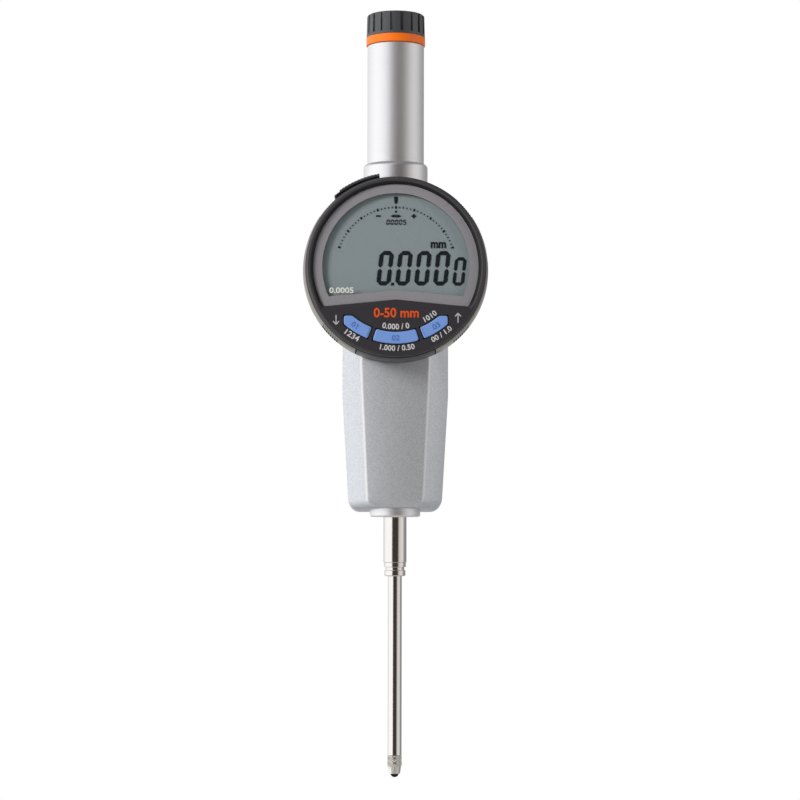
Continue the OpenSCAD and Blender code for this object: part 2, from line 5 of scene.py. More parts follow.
import bpy
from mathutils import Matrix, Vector


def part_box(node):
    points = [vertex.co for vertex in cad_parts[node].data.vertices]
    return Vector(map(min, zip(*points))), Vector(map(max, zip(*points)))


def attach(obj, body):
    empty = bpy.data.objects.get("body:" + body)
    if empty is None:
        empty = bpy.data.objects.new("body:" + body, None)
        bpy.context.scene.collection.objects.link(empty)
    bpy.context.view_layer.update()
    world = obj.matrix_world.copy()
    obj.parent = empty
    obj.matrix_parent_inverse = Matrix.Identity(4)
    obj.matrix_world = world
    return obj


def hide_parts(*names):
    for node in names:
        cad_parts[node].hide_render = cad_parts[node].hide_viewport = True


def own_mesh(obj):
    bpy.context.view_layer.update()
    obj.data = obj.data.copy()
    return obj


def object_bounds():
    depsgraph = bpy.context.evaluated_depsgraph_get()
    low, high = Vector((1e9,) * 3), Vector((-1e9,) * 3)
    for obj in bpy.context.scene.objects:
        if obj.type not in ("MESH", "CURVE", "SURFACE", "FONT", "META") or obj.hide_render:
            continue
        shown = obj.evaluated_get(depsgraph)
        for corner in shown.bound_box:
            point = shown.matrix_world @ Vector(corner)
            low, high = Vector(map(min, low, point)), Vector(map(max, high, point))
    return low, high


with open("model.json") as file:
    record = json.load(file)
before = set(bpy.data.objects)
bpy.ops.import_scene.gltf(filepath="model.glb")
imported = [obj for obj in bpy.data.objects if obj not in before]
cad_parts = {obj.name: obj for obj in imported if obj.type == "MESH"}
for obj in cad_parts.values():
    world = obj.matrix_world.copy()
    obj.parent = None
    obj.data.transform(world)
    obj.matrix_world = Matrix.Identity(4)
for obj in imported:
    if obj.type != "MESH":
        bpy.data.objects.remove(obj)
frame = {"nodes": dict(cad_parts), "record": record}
CAD_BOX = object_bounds()
NODES = frame["nodes"]
MM = 0.001

# Places taken from the frame, in metres
CASE_LOW, CASE_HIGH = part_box("display_case")
HEAD_X = (CASE_LOW.x + CASE_HIGH.x) / 2
HEAD_Z = (CASE_LOW.z + CASE_HIGH.z) / 2
LCD_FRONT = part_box("lcd_panel")[0].y
MASK_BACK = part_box("lcd_mask")[1].y
BEZEL_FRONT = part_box("bezel")[0].y
KEY_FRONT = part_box("button_centre")[0].y
SOCKET_FROM_Z = HEAD_Z + 30.2 * MM    # above this the casting is the machined tube socket


# ---------------------------------------------------------------- shader helpers

def linear(red, green, blue):
    """Linear colour of an sRGB colour given in 0..255."""
    def channel(value):
        value /= 255
        return value / 12.92 if value <= 0.04045 else ((value + 0.055) / 1.055) ** 2.4
    return channel(red), channel(green), channel(blue), 1.0


class Graph:
    """A node tree with short helpers; a node's input is given as a socket or as a constant."""

    def __init__(self, tree):
        self.nodes, self.links = tree.nodes, tree.links

    def add(self, kind, inputs, **settings):
        """A new shader node with its settings, and then its inputs by name or number."""
        node = self.nodes.new("ShaderNode" + kind)
        for setting, value in settings.items():
            setattr(node, setting, value)
        for socket, value in inputs.items():
            if isinstance(value, bpy.types.NodeSocket):
                self.links.new(value, node.inputs[socket])
            else:
                node.inputs[socket].default_value = value
        return node

    def remap(self, value, low, high, start=0.3, end=0.7):
        """Runs from low to high while value goes from start to end, and stays there."""
        node = self.add("MapRange", {"Value": value, "From Min": start, "From Max": end,
                                     "To Min": low, "To Max": high})
        return node.outputs["Result"]

    def fade(self, length, limits, low=0, high=1):
        """Runs from low to high while a length passes between two limits in millimetres."""
        start, end = limits
        return self.remap(length, low, high, start * MM, end * MM)

    def math(self, operation, *values):
        """The result of a Math node."""
        return self.add("Math", dict(enumerate(values)), operation=operation).outputs["Value"]

    def product(self, first, *others):
        """All values multiplied."""
        for other in others:
            first = self.math("MULTIPLY", first, other)
        return first

    def mix(self, factor, under, over):
        """The colour under where factor is 0, and over where it is 1."""
        node = self.add("Mix", {"Factor": factor, "A": under, "B": over}, data_type="RGBA")
        return node.outputs["Result"]


class Shader(Graph):
    """A node material with its Principled BSDF and short helpers for procedural detail."""

    def __init__(self, name, color, roughness, metallic=0.0, **sockets):
        self.material = bpy.data.materials.new(name)
        self.material.use_nodes = True
        super().__init__(self.material.node_tree)
        self.bsdf = self.nodes["Principled BSDF"]
        self.color, self.roughness = color, roughness
        self.bsdf.inputs["Base Color"].default_value = color
        self.bsdf.inputs["Roughness"].default_value = roughness
        self.bsdf.inputs["Metallic"].default_value = metallic
        for socket, value in sockets.items():
            self.bsdf.inputs[socket.replace("_", " ")].default_value = value
        self.coordinates = self.nodes.new("ShaderNodeTexCoord").outputs["Object"]
        self.normal = None

    def feed(self, socket, value):
        """Links a value to one of the BSDF's sockets."""
        self.links.new(value, self.bsdf.inputs[socket])

    def stretched(self, x, y, z):
        """Object coordinates scaled along each axis."""
        node = self.add("Mapping", {"Vector": self.coordinates, "Scale": (x, y, z)})
        return node.outputs["Vector"]

    def axes(self):
        """X, Y and Z of the object coordinates."""
        return self.add("SeparateXYZ", {"Vector": self.coordinates}).outputs

    def from_head(self, x, z):
        """Distances to the right of the head's axis and up from it."""
        return self.math("SUBTRACT", x, HEAD_X), self.math("SUBTRACT", z, HEAD_Z)

    def noise(self, size, detail=2.0, vector=None):
        """Noise whose features are about size metres across."""
        node = self.add("TexNoise", {"Vector": vector or self.coordinates, "Scale": 1 / size,
                                     "Detail": detail})
        return node.outputs["Fac"]

    def flakes(self, size):
        """Random value per cell of about size metres."""
        cells = self.add("TexVoronoi", {"Vector": self.coordinates, "Scale": 1 / size})
        return self.add("SeparateColor", {"Color": cells.outputs["Color"]}).outputs["Red"]

    def tint(self, value, spread):
        """Base colour made up to spread darker and lighter by value."""
        dark = [c * (1 - spread) for c in self.color[:3]] + [1]
        light = [c * (1 + spread) for c in self.color[:3]] + [1]
        self.blend_color(value, dark, light)

    def blend_color(self, value, dark, light):
        """Base colour between two colours by value."""
        self.feed("Base Color", self.mix(self.remap(value, 0, 1), dark, light))

    def overlay(self, factor, color):
        """Lays another colour over the base colour where factor is 1."""
        under = self.bsdf.inputs["Base Color"].links[0].from_socket
        self.feed("Base Color", self.mix(factor, under, color))

    def vary_roughness(self, value, spread):
        """Roughness made up to spread lower and higher by value."""
        low, high = self.roughness - spread, self.roughness + spread
        self.feed("Roughness", self.remap(value, low, high))

    def bump(self, value, depth, strength=1.0):
        """Adds relief of depth metres to the normal."""
        inputs = {"Distance": depth, "Strength": strength, "Height": value}
        if self.normal:
            inputs["Normal"] = self.normal
        self.normal = self.add("Bump", inputs).outputs["Normal"]
        self.feed("Normal", self.normal)


# ---------------------------------------------------------------- materials

def moulded(name, color, roughness, grain=0.12 * MM, depth=0.004 * MM, spread=0.12, **sockets):
    """Moulded plastic or rubber: fine spark-eroded grain and slight unevenness."""
    shader = Shader(name, color, roughness, **sockets)
    fine = shader.noise(grain, 3)
    shader.tint(shader.noise(grain * 2.5, 4), spread)
    shader.vary_roughness(shader.noise(2.2 * MM, 3), 0.05)
    shader.bump(fine, depth)
    return shader.material


# Silver paint of the casting, the bare metal of its socket, and the painted highlight on the front
# ridges:
# where they fade at their front and back along Y, and at their foot along Z, in mm
PAINT_METALLIC, PAINT_ROUGHNESS, BARE_ROUGHNESS = 0.55, 0.44, 0.42
BARE_FADE = 0.2 * MM
RIDGE_HIGHLIGHT_COLOR = (0.74, 0.745, 0.76, 1)
RIDGE_FRONT, RIDGE_BACK, RIDGE_FOOT = (-10.6, -10.86), (-10.05, -10.3), (11.6, 14.5)


def metallic_paint(name, color, bare_from_z, bare_color):
    """Silver paint over a casting, with a painted highlight along its front ridges; its machined
    socket is bare.
    """
    shader = Shader(name, color, PAINT_ROUGHNESS, metallic=PAINT_METALLIC)
    _, y, z = shader.axes()
    bare = shader.remap(z, 0, 1, bare_from_z, bare_from_z + BARE_FADE)
    shader.tint(shader.flakes(0.2 * MM), 0.10)
    # painted highlight: the paint is lightened along the front ridges, where light catches their
    # rounded edges
    ridge = shader.product(shader.fade(y, RIDGE_BACK), shader.fade(y, RIDGE_FRONT, 1, 0),
                           shader.fade(z, RIDGE_FOOT))
    shader.overlay(ridge, RIDGE_HIGHLIGHT_COLOR)
    shader.overlay(bare, bare_color)
    shader.feed("Metallic", shader.remap(bare, PAINT_METALLIC, 1.0, 0, 1))
    shader.feed("Roughness", shader.remap(bare, PAINT_ROUGHNESS, BARE_ROUGHNESS, 0, 1))
    shader.bump(shader.noise(0.28 * MM, 3), 0.004 * MM)
    shader.bump(shader.noise(1.6 * MM, 2), 0.006 * MM, 0.6)
    return shader.material


def turned_metal(name, color, roughness, line=0.05 * MM, depth=0.0006 * MM, spread=0.02):
    """Turned or ground metal: fine rings round the Z axis in relief, tone and roughness."""
    shader = Shader(name, color, roughness, metallic=1.0)
    rings = shader.noise(line, 3, shader.stretched(0.01, 0.01, 1))
    if depth:
        shader.bump(rings, depth)
    shader.tint(rings, 0.02)
    shader.vary_roughness(shader.noise(line * 3, 2, shader.stretched(0.02, 0.02, 1)), spread)
    return shader.material


# Painted shade on the rim's front lip, which fades between two places along Y in mm, and painted
# shade along the grooves of its grips
LIP_SHADE_COLOR, LIP_EDGE = (0.012, 0.012, 0.013, 1), (-21.0, -20.8)
GROOVE_SHADE_COLOR, GROOVE_SHARE = (0.03, 0.03, 0.032, 1), 0.75
GROOVE_FROM, GROOVE_FULL = 0.1, -0.6      # on a cosine that is lowest in the middle of a groove
GRIP_MIDDLES = (41, 139, -135.5, -44.5)   # degrees anticlockwise from the head's right
GRIP_PITCH = 1.75                         # degrees
GRIP_HALF = 3.94 * GRIP_PITCH


def cast_rim(name, color):
    """Satin metallic display rim, with painted shade on its front lip and along the grooves of its
    grips.
    """
    shader = Shader(name, color, 0.36, metallic=0.7)
    x, y, z = shader.axes()
    shader.tint(shader.flakes(0.2 * MM), 0.1)
    # painted shade: the rim's front lip is darkened
    shader.overlay(shader.fade(y, LIP_EDGE, 1, 0), LIP_SHADE_COLOR)
    across, up = shader.from_head(x, z)
    angle = shader.math("DEGREES", shader.math("ARCTAN2", up, across))
    for middle in GRIP_MIDDLES:
        offset = shader.math("SUBTRACT", angle, middle)
        wave = shader.math("COSINE", shader.math("MULTIPLY", offset, 2 * math.pi / GRIP_PITCH))
        near = shader.math("LESS_THAN", shader.math("ABSOLUTE", offset), GRIP_HALF)
        # painted shade along the middle of each groove of the grips
        groove = shader.remap(wave, 0, GROOVE_SHARE, GROOVE_FROM, GROOVE_FULL)
        shader.overlay(shader.product(groove, near), GROOVE_SHADE_COLOR)
    shader.vary_roughness(shader.noise(0.4 * MM, 3), 0.05)
    shader.bump(shader.noise(0.16 * MM, 3), 0.006 * MM)
    return shader.material


# Painted shade and painted highlight round the bezel: inner and outer radius in mm and colour, and
# the height in mm from the head's axis over which they fade in, above the keys
BEZEL_SHADE_AND_HIGHLIGHT = ((27.3, 28.5, linear(14, 14, 18)), (28.5, 29.7, linear(62, 61, 65)))
TONES_FROM = (-14, -12)
TONE_START, TONE_BLUR = 0.15, 0.1


def bezel_plastic(name, color):
    """Dark moulded plastic, with painted shade on the ring's inner slope and a painted highlight
    along its crest.
    """
    shader = Shader(name, color, 0.5, Specular_IOR_Level=0.35)
    shader.tint(shader.noise(0.3 * MM, 4), 0.1)
    x, _, z = shader.axes()
    across, up = shader.from_head(x, z)
    radius = shader.math("SQRT", shader.math("ADD", shader.product(across, across),
                                             shader.product(up, up)))
    above_keys = shader.fade(up, TONES_FROM)
    # the first ring is painted shade on the inner slope, the second a painted highlight on the crest
    for inner, outer, shade in BEZEL_SHADE_AND_HIGHLIGHT:
        beyond = shader.fade(radius, (inner, inner + TONE_START))
        within = shader.fade(radius, (outer - TONE_BLUR, outer + TONE_BLUR), 1, 0)
        shader.overlay(shader.product(beyond, within, above_keys), shade)
    shader.vary_roughness(shader.noise(2.2 * MM, 3), 0.05)
    shader.bump(shader.noise(0.12 * MM, 3), 0.004 * MM)
    return shader.material


def plain_metal(name, color, roughness, depth=0.002 * MM):
    """Milled or stamped metal with an even fine finish."""
    shader = Shader(name, color, roughness, metallic=1.0)
    shader.tint(shader.noise(1.5 * MM, 4), 0.06)
    shader.vary_roughness(shader.noise(0.4 * MM, 3), 0.06)
    shader.bump(shader.noise(0.1 * MM, 2), depth)
    return shader.material


def lcd_surface(name):
    """Reflective LCD: grey-green polariser film with the faint mottle of its reflector."""
    shader = Shader(name, linear(136, 148, 154), 0.55, Specular_IOR_Level=0.2)
    shader.tint(shader.noise(0.35 * MM, 4), 0.05)
    shader.bump(shader.noise(0.08 * MM, 2), 0.0008 * MM)
    return shader.material


def board_surface(name):
    """Solder mask with copper pours showing through as slightly lighter areas."""
    shader = Shader(name, (0.02, 0.13, 0.05, 1), 0.35)
    shader.blend_color(shader.flakes(2.4 * MM), (0.015, 0.10, 0.04, 1), (0.03, 0.18, 0.07, 1))
    shader.bump(shader.noise(0.3 * MM, 2), 0.01 * MM)
    return shader.material


def clear_window(name):
    """Thin clear cover: mostly see-through, with a soft gloss."""
    shader = Shader(name, (0.10, 0.12, 0.13, 1), 0.06, Alpha=0.04, Specular_IOR_Level=0.3)
    shader.bump(shader.noise(9 * MM, 1), 0.01 * MM, 0.3)
    return shader.material


MATERIALS = {
    "casting_silver": metallic_paint("casting_silver", linear(204, 208, 216), SOCKET_FROM_Z,
                                     linear(244, 244, 246)),
    "tube_aluminium": turned_metal("tube_aluminium", linear(246, 246, 248), 0.48,
                                   line=0.09 * MM, depth=0.0004 * MM),
    "polished_steel": turned_metal("polished_steel", linear(230, 227, 224), 0.12,
                                   line=0.2 * MM, depth=0),
    "inner_steel": plain_metal("inner_steel", linear(190, 190, 190), 0.3),
    "screw_steel": plain_metal("screw_steel", linear(92, 92, 94), 0.35),
    "rubber_black": moulded("rubber_black", linear(32, 32, 33), 0.7),
    "brass": plain_metal("brass", linear(214, 178, 110), 0.28),
    "pcb_green": board_surface("pcb_green"),
    "chip_black": moulded("chip_black", linear(28, 29, 31), 0.5),
    "flex_amber": moulded("flex_amber", linear(196, 120, 40), 0.3),
    "carbide": turned_metal("carbide", linear(44, 44, 46), 0.16),
    "hardened_steel": turned_metal("hardened_steel", linear(238, 233, 227), 0.14,
                                   line=0.2 * MM, depth=0),
    "holder_aluminium": plain_metal("holder_aluminium", linear(214, 213, 212), 0.36),
    "scale_glass": moulded("scale_glass", linear(180, 170, 130), 0.2),
    "rim_grey": cast_rim("rim_grey", linear(152, 147, 141)),
    "black_plastic": moulded("black_plastic", linear(62, 64, 69), 0.44,
                             Specular_IOR_Level=0.8),
    "window_glass": clear_window("window_glass"),
    "fascia_dark": bezel_plastic("fascia_dark", linear(50, 48, 53)),
    "mask_grey": moulded("mask_grey", linear(144, 142, 151), 0.6, spread=0.04,
                         Specular_IOR_Level=0.3),
    "lcd_glass": lcd_surface("lcd_glass"),
    "frame_white": moulded("frame_white", linear(225, 225, 222), 0.5),
    "zebra_pink": moulded("zebra_pink", linear(190, 120, 140), 0.6),
    "mat_grey": moulded("mat_grey", linear(170, 170, 172), 0.6),
    "button_blue": moulded("button_blue", linear(116, 152, 219), 0.34, spread=0.05,
                           depth=0.002 * MM),
    "battery_steel": plain_metal("battery_steel", linear(205, 205, 205), 0.22),
    "orange_ring": moulded("orange_ring", linear(244, 116, 22), 0.4, spread=0.05),
}
LCD_INK = moulded("lcd_ink", linear(8, 16, 22), 0.6, Specular_IOR_Level=0.15)
# black of the LCD well's wall, used as painted shade at the edge of the LCD opening
WELL_SHADE_BLACK = moulded("well_black", linear(22, 22, 24), 0.6)
MARK_ORANGE = moulded("mark_orange", linear(214, 80, 26), 0.5)
MARK_WHITE = moulded("mark_white", linear(198, 198, 202), 0.6)
KEY_INK = moulded("key_ink", linear(62, 96, 172), 0.5)


# ---------------------------------------------------------------- finishing the CAD nodes

# A steeper edge of a CAD mesh stays sharp, and a bevel rounds it; closer vertices are joined
SHARP_FROM = math.radians(32)
WELD = 0.002 * MM


def edge_cleanup():
    """Geometry nodes: joins a CAD mesh's split vertices and shades it smooth over gentle edges."""
    group = bpy.data.node_groups.new("edge_cleanup", "GeometryNodeTree")
    group.interface.new_socket("Geometry", in_out="INPUT", socket_type="NodeSocketGeometry")
    group.interface.new_socket("Geometry", in_out="OUTPUT", socket_type="NodeSocketGeometry")
    new, link = group.nodes.new, group.links.new
    start, end = new("NodeGroupInput"), new("NodeGroupOutput")
    drop = new("GeometryNodeRemoveAttribute")
    drop.inputs["Name"].default_value = "custom_normal"
    merge = new("GeometryNodeMergeByDistance")
    merge.inputs["Distance"].default_value = WELD
    angle = new("GeometryNodeInputMeshEdgeAngle")
    compare = new("FunctionNodeCompare")
    compare.operation = "LESS_EQUAL"
    compare.inputs["B"].default_value = SHARP_FROM
    faces = new("GeometryNodeSetShadeSmooth")
    edges = new("GeometryNodeSetShadeSmooth")
    edges.domain = "EDGE"
    link(start.outputs[0], drop.inputs["Geometry"])
    link(drop.outputs["Geometry"], merge.inputs["Geometry"])
    link(merge.outputs["Geometry"], faces.inputs["Geometry"])
    link(faces.outputs["Geometry"], edges.inputs["Geometry"])
    link(angle.outputs["Unsigned Angle"], compare.inputs["A"])
    link(compare.outputs["Result"], edges.inputs["Shade Smooth"])
    link(edges.outputs["Geometry"], end.inputs[0])
    return group


EDGE_CLEANUP = edge_cleanup()
# Width of the rounded edges in mm; a node that isn't named has none
BEVELS = {
    "housing": 0.35, "stem": 0.12, "stem_collar": 0.15, "wiper_holder": 0.1, "spring_tube": 0.12,
    "lug_back": 0.25, "lower_cover": 0.2, "display_case": 0.12, "bezel": 0.12, "window": 0.08,
    "battery_tray": 0.15, "connector_cap": 0.12, "cap_ring": 0.15, "top_cap": 0.14,
}


def finish_node(name, slot):
    """Gives a CAD node its material, joined vertices and lightly rounded edges."""
    node = NODES[name]
    node.data.materials.clear()
    node.data.materials.append(MATERIALS[slot])
    cleanup = node.modifiers.new("edge_cleanup", "NODES")
    cleanup.node_group = EDGE_CLEANUP
    width = BEVELS.get(name, 0.0) * MM
    if width:
        bevel = node.modifiers.new("edge_round", "BEVEL")
        bevel.width = width
        bevel.segments = 2
        bevel.limit_method = "ANGLE"
        bevel.angle_limit = SHARP_FROM
        bevel.use_clamp_overlap = True
        bevel.harden_normals = True


for part in frame["record"]["subparts"]:
    finish_node(part["node"], part["material_slot"])


# ---------------------------------------------------------------- mesh helpers

def add_piece(name, vertices, faces, material, body):
    """A mesh piece that rides on a body, with the given material."""
    mesh = bpy.data.meshes.new(name)
    mesh.from_pydata(vertices, [], faces)
    mesh.materials.append(material)
    mesh.validate()
    piece = bpy.data.objects.new(name, mesh)
    bpy.context.scene.collection.objects.link(piece)
    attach(piece, body)
    return piece


def smooth_below(piece, degrees):
    """Smooth shading, with edges steeper than the given angle left sharp."""
    piece.data.shade_smooth()
    piece.data.set_sharp_from_angle(angle=math.radians(degrees))


def circle(radius, sides):
    """Points round a circle, anticlockwise from the right."""
    turns = [2 * math.pi * i / sides for i in range(sides)]
    return [(radius * math.cos(turn), radius * math.sin(turn)) for turn in turns]


def bridge(first, second, count, flip=False):
    """Faces between two closed rings of count vertices, given by their first vertices."""
    faces = []
    for i in range(count):
        j = (i + 1) % count
        if flip:
            faces.append([first + i, second + i, second + j, first + j])
        else:
            faces.append([first + i, first + j, second + j, second + i])
    return faces


def shell(rings, count, flip=False):
    """Faces of a closed body through consecutive rings of count vertices, with its two ends."""
    last = (rings - 1) * count
    faces = [face for ring in range(rings - 1)
             for face in bridge(ring * count, (ring + 1) * count, count, flip)]
    for end in (list(reversed(range(count))), list(range(last, last + count))):
        faces.append(end[::-1] if flip else end)
    return faces


def on_head(u, v, depth_y):
    """A point of the head's front view, u right and v up in millimetres from its axis."""
    return HEAD_X + u * MM, depth_y, HEAD_Z + v * MM


class Plates:
    """Flat closed shapes of one thickness, gathered into one piece."""

    def __init__(self, front_y, thickness):
        self.front, self.back = front_y, front_y + thickness
        self.vertices, self.faces = [], []

    def add(self, outline):
        """One plate from an outline of (u, v) points that runs anticlockwise."""
        first, count = len(self.vertices), len(outline)
        self.vertices += [on_head(u, v, self.front) for u, v in outline]
        self.vertices += [on_head(u, v, self.back) for u, v in outline]
        self.faces.append([first + i for i in range(count)])
        self.faces.append([first + count + i for i in reversed(range(count))])
        self.faces += bridge(first, first + count, count, flip=True)

    def add_text(self, text, size, place, bold=0.0):
        """Characters as closed shapes; place maps their plane (x, y in mm) to (u, v)."""
        curve = bpy.data.curves.new("letters", "FONT")
        curve.body = text
        curve.size = size
        curve.extrude = 1.0
        curve.align_x = "CENTER"
        curve.offset = bold
        curve.resolution_u = 3
        holder = bpy.data.objects.new("letters", curve)
        bpy.context.scene.collection.objects.link(holder)
        evaluated = holder.evaluated_get(bpy.context.evaluated_depsgraph_get())
        mesh = bpy.data.meshes.new_from_object(evaluated)
        first = len(self.vertices)
        for vertex in mesh.vertices:
            u, v = place(vertex.co.x, vertex.co.y)
            self.vertices.append(on_head(u, v, self.front if vertex.co.z > 0 else self.back))
        self.faces += [[first + i for i in polygon.vertices] for polygon in mesh.polygons]
        bpy.data.objects.remove(holder)
        bpy.data.curves.remove(curve)
        bpy.data.meshes.remove(mesh)

    def make(self, name, material, body):
        """The plates as one piece."""
        return add_piece(name, self.vertices, self.faces, material, body)


def straight(u, v, stretch=1.0):
    """Places text at (u, v), stretched along its line."""
    def place(x, y):
        return u + x * stretch, v + y
    return place


def along_arc(radius, angle, stretch=1.0):
    """Bends a text's base line along a circle round the head's axis, its tops towards the axis."""
    def place(x, y):
        turn = math.radians(angle) + x * stretch / radius
        return (radius - y) * math.cos(turn), (radius - y) * math.sin(turn)
    return place


def bar(p, q, width, point=0.0):
    """Outline of a bar from p to q; point pulls its ends out to tips."""
    (px, py), (qx, qy) = p, q
    length = math.hypot(qx - px, qy - py)
    dx, dy = (qx - px) / length, (qy - py) / length
    nx, ny = -dy * width / 2, dx * width / 2
    ex, ey = dx * point, dy * point
    return [(px, py), (px + ex - nx, py + ey - ny), (qx - ex - nx, qy - ey - ny),
            (qx, qy), (qx - ex + nx, qy - ey + ny), (px + ex + nx, py + ey + ny)]


# ---------------------------------------------------------------- LCD picture

SEGMENTS = {"0": "abcdef", "5": "acdfg"}
SLANT = 6.5    # of the figures, in degrees


def add_digit(plates, character, u, v, width, height, stroke):
    """A slanted seven-segment figure whose lower left corner is at (u, v)."""
    lean = math.tan(math.radians(SLANT))
    half = stroke / 2
    split = stroke * 0.12
    left, right, low, mid, top = half, width - half, half, height / 2, height - half
    ends = {
        "a": ((left, top), (right, top)), "b": ((right, mid + split), (right, top)),
        "c": ((right, low), (right, mid - split)), "d": ((left, low), (right, low)),
        "e": ((left, low), (left, mid - split)), "f": ((left, mid + split), (left, top)),
        "g": ((left, mid), (right, mid)),
    }
    for key in SEGMENTS[character]:
        (px, py), (qx, qy) = ends[key]
        outline = bar((px, py), (qx, qy), stroke, half)
        plates.add([(u + x + lean * y, v + y) for x, y in outline])


def polar(radius, angle):
    """A point round the head's axis; the angle is in degrees clockwise from the top."""
    return radius * math.sin(math.radians(angle)), radius * math.cos(math.radians(angle))


# Layout of the LCD in mm from the head's axis; a figure's size is its width, height and stroke
INK_PROUD, INK_DEPTH = 0.12 * MM, 0.05 * MM
LARGE, LAST, SMALL = (4.75, 11.6, 1.4), (3.9, 9.5, 1.1), (1.1, 1.8, 0.34)
LARGE_PITCH, LARGE_LEFT, LARGE_BASE = 6.33, -6.65, -6.25
SMALL_PITCH, SMALL_LEFT, SMALL_BASE = 1.4, -3.3, 14.1
SCALE_RADIUS, SCALE_STEP = 20.0, 3.55    # the step is in degrees
LONG_TICK, SHORT_TICK = (0.9, 0.62), (0.55, 0.34)
POINTER = [(-0.35, 21.2), (0.35, 21.2), (0.66, 22.6), (0.66, 23.6), (-0.66, 23.6), (-0.66, 22.6)]
SIGN_BARS = (((-0.2, 18.2), (0.2, 18.9), 0.6), ((-6.7, 17.05), (-5.1, 17.05), 0.55),
             ((5.2, 17.05), (6.75, 17.05), 0.55), ((5.98, 16.3), (5.98, 17.8), 0.55))
SIGN_SHAPES = ([(-1.9, 17.05), (-0.45, 17.65), (-0.45, 16.45)],
               [(0.45, 16.45), (0.45, 17.65), (1.9, 17.05)],
               [(-0.42, 17.05), (0.0, 16.45), (0.42, 17.05), (0.0, 17.65)])


def lcd_picture():
    """Digits, unit, arc scale and symbols of the display, as thin plates on the LCD."""
    ink = Plates(LCD_FRONT - INK_PROUD, INK_DEPTH)
    for i in range(4):
        add_digit(ink, "0", LARGE_LEFT + i * LARGE_PITCH, LARGE_BASE, *LARGE)
    add_digit(ink, "0", LARGE_LEFT + 4 * LARGE_PITCH + 0.1, LARGE_BASE, *LAST)
    dot, foot = LARGE_LEFT + LARGE_PITCH - 1.35, LARGE_BASE
    ink.add([(dot, foot), (dot + 1.0, foot), (dot + 1.1, foot + 0.95), (dot + 0.1, foot + 0.95)])
    ink.add_text("mm", 4.1, straight(14.2, 6.4, stretch=0.84), bold=0.13)
    for i, figure in enumerate("00005"):
        add_digit(ink, figure, SMALL_LEFT + SMALL_PITCH * i, SMALL_BASE, *SMALL)
    for i in range(-20, 21):
        size, width = LONG_TICK if i % 5 == 0 else SHORT_TICK
        inner = polar(SCALE_RADIUS - size / 2, i * SCALE_STEP)
        outer = polar(SCALE_RADIUS + size / 2, i * SCALE_STEP)
        ink.add(bar(inner, outer, width))
    ink.add(POINTER)
    for start, end, width in SIGN_BARS:
        ink.add(bar(start, end, width))
    for shape in SIGN_SHAPES:
        ink.add(shape)
    return ink.make("lcd_ink", LCD_INK, "display")


# The LCD opening: its radius and the height of its sloping lower edge in mm, and the slope
VIEW_RADIUS, VIEW_TOP, VIEW_FALL = 24.6, -8.03, math.radians(5.1)


def view_corner():
    """Right-hand corner (u, v) where the LCD opening's round edge meets its sloping lower edge."""
    slope = math.tan(VIEW_FALL)
    a, b, c = 1 + slope ** 2, -2 * VIEW_TOP * slope, VIEW_TOP ** 2 - VIEW_RADIUS ** 2
    u = (-b + math.sqrt(b ** 2 - 4 * a * c)) / (2 * a)
    return u, VIEW_TOP - u * slope


def lcd_well():
    """Wall between the mask's opening and the LCD, following the opening's outline, made black as
    painted shade at the opening's edge.
    """
    wall, steps, overlap = 0.5, 96, 0.02
    corner_u, corner_v = view_corner()
    start = math.atan2(corner_v, corner_u)
    inner, outer = [], []
    for i in range(steps + 1):
        angle = start + (math.pi - 2 * start) * i / steps
        for ring, radius in ((inner, VIEW_RADIUS + overlap), (outer, VIEW_RADIUS + wall)):
            ring.append((radius * math.cos(angle), radius * math.sin(angle)))
    inner.append((0.0, VIEW_TOP - overlap))
    outer.append((0.0, VIEW_TOP - wall))
    vertices, faces, count = [], [], len(inner)
    foot = LCD_FRONT - 0.01 * MM
    rings = ((inner, foot), (outer, foot), (outer, MASK_BACK), (inner, MASK_BACK))
    for level, (ring, depth) in enumerate(rings):
        vertices += [on_head(u, v, depth) for u, v in ring]
        faces += bridge(level * count, (level + 1) % len(rings) * count, count)
    return add_piece("lcd_well", vertices, faces, WELL_SHADE_BLACK, "display")


# ---------------------------------------------------------------- printed marks

PRINT = 0.03 * MM              # thickness of the printed marks
PRINT_BOLD = 0.05              # by which their strokes are thickened, in mm
OUTER_ROW, INNER_ROW = 28.3, 21.15    # radii of the figures' base lines round the keys, in mm
PANEL_FIGURES = (              # figures, height, row, angle of their middle, stretch
    ("0.000 / 0", 2.6, INNER_ROW, 270.0, 1.02), ("1.000 / 0.50", 2.5, OUTER_ROW, 270.6, 1.04),
    ("1234", 2.6, OUTER_ROW, 237.5, 1.15), ("1010", 2.5, INNER_ROW, 303.6, 1.1),
    ("00 / 1.0", 2.5, OUTER_ROW, 303.8, 1.05))
PANEL_ARROWS = ((-19.9, -16.4, -19.6), (20.7, -18.9, -15.7))    # place, foot and tip
ARROW_SIZE = 0.95


def arrow_mark(plates, u, low, high, size, line=0.28):
    """A thin arrow that points from low to high."""
    way = 1 if high > low else -1
    plates.add(bar((u, low), (u, high - 0.2 * way), line))
    for side in (-1, 1):
        plates.add(bar((u + side * size, high - size * 1.15 * way), (u, high), line))


def panel_marks():
    """White figures round the keys, and the two arrows."""
    marks = Plates(BEZEL_FRONT - PRINT, PRINT)
    for figures, height, row, angle, stretch in PANEL_FIGURES:
        marks.add_text(figures, height, along_arc(row, angle, stretch), bold=PRINT_BOLD)
    for place, foot, tip in PANEL_ARROWS:
        arrow_mark(marks, place, foot, tip, ARROW_SIZE)
    return marks.make("panel_marks", MARK_WHITE, "display")


